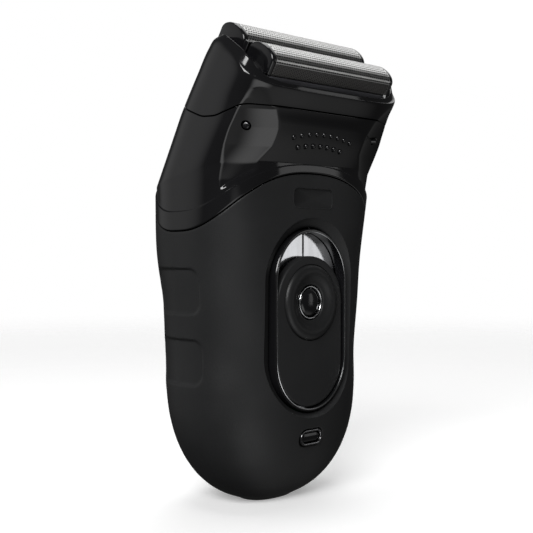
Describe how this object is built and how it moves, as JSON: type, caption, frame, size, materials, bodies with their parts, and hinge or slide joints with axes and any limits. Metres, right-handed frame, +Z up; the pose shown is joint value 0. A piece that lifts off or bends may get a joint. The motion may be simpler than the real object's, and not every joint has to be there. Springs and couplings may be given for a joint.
{
  "type": "foil shaver",
  "caption": "Cordless foil shaver with a rounded handle, a thumb slider and a forward-leaning head that holds long arched foils over oscillating cutters.",
  "frame": {"origin": "centre of the bounding box's bottom face, level with the flat the handle stands on", "axes": "+Z up the handle towards the foils, -Y out of the switch side, +X to the viewer's right when looking at the switch"},
  "size_m": [0.0586, 0.0471, 0.1166],
  "materials": {
    "soft_touch": "soft-touch matt charcoal",
    "smoke_gloss": "smoky near-black gloss",
    "gloss_black": "black gloss",
    "soft_rubber": "matt",
    "foil_steel": "perforated bright steel",
    "bright_trim": "bright plated edge",
    "satin_metal": "satin",
    "spring_steel": "bright",
    "contact_brass": "bright",
    "frame_plastic": "moulded",
    "board_green": "lacquered board",
    "battery_wrap": "shrink wrap over an aluminium can",
    "lamp_plastic": "translucent lens"
  },
  "bodies": {
    "handle": {"body_shell": "soft_touch", "rear_cover": "soft_touch", "cover_screw_1": "spring_steel", "cover_screw_2": "spring_steel", "chassis": "frame_plastic", "battery": "battery_wrap", "battery_contact_lower": "contact_brass", "battery_contact_upper": "contact_brass", "circuit_board": "board_green", "status_led": "lamp_plastic", "led_bezel": "bright_trim", "led_window": "gloss_black", "switch_bezel": "bright_trim", "slider_track": "satin_metal", "charge_inlet": "gloss_black", "inlet_pin_left": "contact_brass", "inlet_pin_right": "contact_brass", "head_housing": "smoke_gloss", "drive_seal": "soft_rubber", "motor_plate": "frame_plastic", "motor": "satin_metal", "motor_screw_left": "spring_steel", "motor_screw_right": "spring_steel", "release_spring_left": "spring_steel", "release_spring_right": "spring_steel"},
    "slider": {"power_slider": "soft_touch", "thumb_ring": "soft_rubber", "switch_wiper": "contact_brass", "lock_button_rim": "bright_trim", "lock_spring": "spring_steel"},
    "lock": {"lock_button": "gloss_black"},
    "release_left": {"release_button_left": "gloss_black"},
    "release_right": {"release_button_right": "gloss_black"},
    "frame": {"foil_frame": "smoke_gloss", "centre_guard": "foil_steel", "guard_bar": "gloss_black"},
    "foil_unit_front": {"foil_front": "foil_steel", "foil_cap_front_left": "gloss_black", "foil_cap_front_right": "gloss_black", "foil_tray_front": "frame_plastic"},
    "foil_unit_rear": {"foil_rear": "foil_steel", "foil_cap_rear_left": "gloss_black", "foil_cap_rear_right": "gloss_black", "foil_tray_rear": "frame_plastic"},
    "bridge": {"drive_bridge": "frame_plastic", "cutter_spring_front": "spring_steel", "cutter_spring_rear": "spring_steel"},
    "cutter_unit_front": {"cutter_front": "spring_steel", "cutter_carrier_front": "frame_plastic"},
    "cutter_unit_rear": {"cutter_rear": "spring_steel", "cutter_carrier_rear": "frame_plastic"},
    "crank": {"motor_crank": "spring_steel"}
  },
  "joints": [
    {"name": "power_slide", "type": "slide", "parent": "handle", "child": "slider", "axis": [0, 0, 1], "range_m": [0, 0.0056]},
    {"name": "lock_press", "type": "slide", "parent": "slider", "child": "lock", "axis": [0, 1, 0], "range_m": [0, 0.0008], "stiffness_N_per_m": 400, "springref_m": -0.001, "deforming": ["lock_spring"]},
    {"name": "release_press_left", "type": "slide", "parent": "handle", "child": "release_left", "axis": [0.8, 0.6, 0], "range_m": [0, 0.0009], "stiffness_N_per_m": 500, "springref_m": -0.001, "deforming": ["release_spring_left"]},
    {"name": "release_press_right", "type": "slide", "parent": "handle", "child": "release_right", "axis": [-0.8, 0.6, 0], "range_m": [0, 0.0009], "stiffness_N_per_m": 500, "springref_m": -0.001, "deforming": ["release_spring_right"]},
    {"name": "frame_lift", "type": "slide", "parent": "handle", "child": "frame", "axis": [0, -0.5388, 0.8425], "range_m": [0, 0.022]},
    {"name": "crank_spin", "type": "hinge", "parent": "handle", "child": "crank", "pos_m": [0, -0.00232, 0.09149], "axis": [0, -0.5388, 0.8425], "continuous": true},
    {"name": "bridge_swing", "type": "slide", "parent": "handle", "child": "bridge", "axis": [1, 0, 0], "range_m": [-0.0012, 0.0012]},
    {"name": "cutter_front_float", "type": "slide", "parent": "bridge", "child": "cutter_unit_front", "axis": [0, 0.5388, -0.8425], "range_m": [0, 0.001], "stiffness_N_per_m": 700, "springref_m": -0.001, "deforming": ["cutter_spring_front"]},
    {"name": "cutter_rear_float", "type": "slide", "parent": "bridge", "child": "cutter_unit_rear", "axis": [0, 0.5388, -0.8425], "range_m": [0, 0.001], "stiffness_N_per_m": 700, "springref_m": -0.001, "deforming": ["cutter_spring_rear"]},
    {"name": "foil_front_float", "type": "slide", "parent": "frame", "child": "foil_unit_front", "axis": [0, 0.5388, -0.8425], "range_m": [0, 0.001]},
    {"name": "foil_rear_float", "type": "slide", "parent": "frame", "child": "foil_unit_rear", "axis": [0, 0.5388, -0.8425], "range_m": [0, 0.001]}
  ],
  "couplings": [
    {"joint": "foil_front_float", "follows": "cutter_front_float", "ratio": 1},
    {"joint": "foil_rear_float", "follows": "cutter_rear_float", "ratio": 1}
  ]
}
